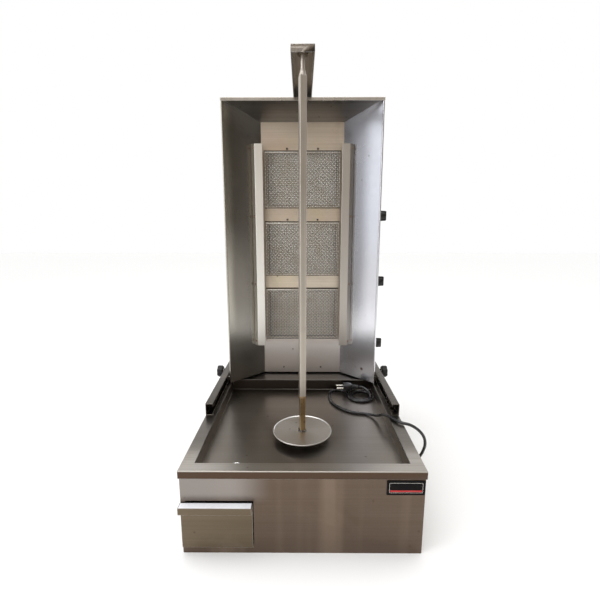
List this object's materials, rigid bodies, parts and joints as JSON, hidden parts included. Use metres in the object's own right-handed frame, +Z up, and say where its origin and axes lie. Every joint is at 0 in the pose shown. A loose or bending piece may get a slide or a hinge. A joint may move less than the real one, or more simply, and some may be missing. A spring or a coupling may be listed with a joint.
{
  "type": "vertical rotisserie broiler",
  "caption": "Counter-top gas vertical broiler: flared tower of mesh-screened ceramic burners sliding on rails over a drip tray, motor-driven spit, top arm and grease drawer.",
  "frame": {"origin": "centre of the base's underside, on the counter", "axes": "+Z up, +X to the operator's right, front faces -Y"},
  "size_m": [0.5293, 0.615, 0.9305],
  "materials": {
    "base_steel": "satin",
    "bottom_steel": "satin",
    "tray_steel": "satin",
    "rail_steel": "satin",
    "drawer_steel": "satin",
    "badge_plastic": "gloss",
    "gearbox_alloy": "cast",
    "motor_paint": "satin",
    "bearing_brass": "machined",
    "gland_plastic": "matte",
    "block_plastic": "matte",
    "lead_plastic": "matte",
    "switch_plastic": "gloss",
    "rocker_plastic": "gloss",
    "cord_rubber": "matte",
    "plug_plastic": "matte",
    "pin_brass": "polished",
    "shaft_steel": "turned",
    "disc_steel": "polished",
    "spit_steel": "satin",
    "stub_steel": "heat-stained",
    "carriage_steel": "satin",
    "housing_steel": "satin",
    "panel_steel": "satin",
    "wing_steel": "satin",
    "hood_steel": "satin",
    "guard_steel": "satin",
    "screw_steel": "satin",
    "burner_iron": "cast",
    "ceramic": "porous",
    "mesh_wire": "woven",
    "pipe_steel": "satin",
    "valve_brass": "cast",
    "knob_plastic": "satin",
    "arm_steel": "satin",
    "guide_steel": "satin"
  },
  "bodies": {
    "base": {"base_shell": "base_steel", "base_bottom": "bottom_steel", "drip_tray": "tray_steel", "nameplate": "badge_plastic", "left_rail": "rail_steel", "right_rail": "rail_steel", "drawer_runners": "bottom_steel", "motor_bracket": "bottom_steel", "gearbox": "gearbox_alloy", "motor_can": "motor_paint", "shaft_bearing": "bearing_brass", "drain_spout": "tray_steel", "cord_gland": "gland_plastic", "terminal_block": "block_plastic", "motor_leads": "lead_plastic", "switch_housing": "switch_plastic", "power_cord": "cord_rubber", "cord_coil": "cord_rubber", "plug_body": "plug_plastic", "plug_pins": "pin_brass"},
    "drawer": {"drawer_pan": "drawer_steel", "drawer_front": "drawer_steel"},
    "turntable": {"output_shaft": "shaft_steel", "shaft_coupling": "shaft_steel", "drive_shaft": "shaft_steel", "turntable_hub": "shaft_steel", "turntable_plate": "disc_steel"},
    "spit": {"spit_stub": "stub_steel", "spit_tube": "spit_steel", "spit_tip": "spit_steel"},
    "tower": {"left_runner": "carriage_steel", "right_runner": "carriage_steel", "tower_floor": "carriage_steel", "side_panels": "housing_steel", "back_cover": "housing_steel", "burner_plate": "panel_steel", "left_wing": "wing_steel", "right_wing": "wing_steel", "hood_panel": "hood_steel", "roof_panel": "housing_steel", "left_guard_strip": "guard_steel", "right_guard_strip": "guard_steel", "tower_screws": "screw_steel", "burner_bodies": "burner_iron", "ceramic_plaques": "ceramic", "mesh_screen_1": "mesh_wire", "mesh_screen_2": "mesh_wire", "mesh_screen_3": "mesh_wire", "gas_manifold": "pipe_steel", "gas_valves": "valve_brass", "gas_tubes": "pipe_steel", "arm_guides": "guide_steel"},
    "arm": {"arm_channel": "arm_steel", "arm_bush": "bearing_brass"},
    "knob_1": {"burner_knob_1": "knob_plastic"},
    "knob_2": {"burner_knob_2": "knob_plastic"},
    "knob_3": {"burner_knob_3": "knob_plastic"},
    "lock_left": {"left_lock_knob": "knob_plastic"},
    "lock_right": {"right_lock_knob": "knob_plastic"},
    "rocker": {"switch_rocker": "rocker_plastic"}
  },
  "joints": [
    {"name": "drawer_slide", "type": "slide", "parent": "base", "child": "drawer", "axis": [0, -1, 0], "range_m": [0, 0.18]},
    {"name": "spit_drive", "type": "hinge", "parent": "base", "child": "turntable", "pos_m": [0, -0.131, 0.15], "axis": [0, 0, 1], "continuous": true},
    {"name": "spit_lift", "type": "slide", "parent": "turntable", "child": "spit", "axis": [0, 0, 1], "range_m": [0, 0.0235]},
    {"name": "tower_slide", "type": "slide", "parent": "base", "child": "tower", "axis": [0, 1, 0], "range_m": [-0.1, 0.035]},
    {"name": "arm_slide", "type": "slide", "parent": "tower", "child": "arm", "axis": [0, 1, 0], "range_m": [-0.035, 0.1]},
    {"name": "burner_knob_1_turn", "type": "hinge", "parent": "tower", "child": "knob_1", "pos_m": [0.22, 0.2, 0.6335], "axis": [1, 0, 0], "range_deg": [0, 90]},
    {"name": "burner_knob_2_turn", "type": "hinge", "parent": "tower", "child": "knob_2", "pos_m": [0.22, 0.2, 0.446], "axis": [1, 0, 0], "range_deg": [0, 90]},
    {"name": "burner_knob_3_turn", "type": "hinge", "parent": "tower", "child": "knob_3", "pos_m": [0.22, 0.2, 0.2585], "axis": [1, 0, 0], "range_deg": [0, 90]},
    {"name": "lock_left_turn", "type": "hinge", "parent": "base", "child": "lock_left", "pos_m": [-0.24, 0.154, 0.184], "axis": [-1, 0, 0], "range_deg": [0, 180]},
    {"name": "lock_right_turn", "type": "hinge", "parent": "base", "child": "lock_right", "pos_m": [0.24, 0.154, 0.184], "axis": [1, 0, 0], "range_deg": [0, 180]},
    {"name": "switch_rock", "type": "hinge", "parent": "base", "child": "rocker", "pos_m": [0.217, 0.12, 0.08], "axis": [0, 1, 0], "range_deg": [-10, 10]}
  ],
  "couplings": [
    {"joint": "arm_slide", "follows": "tower_slide", "ratio": -1}
  ]
}
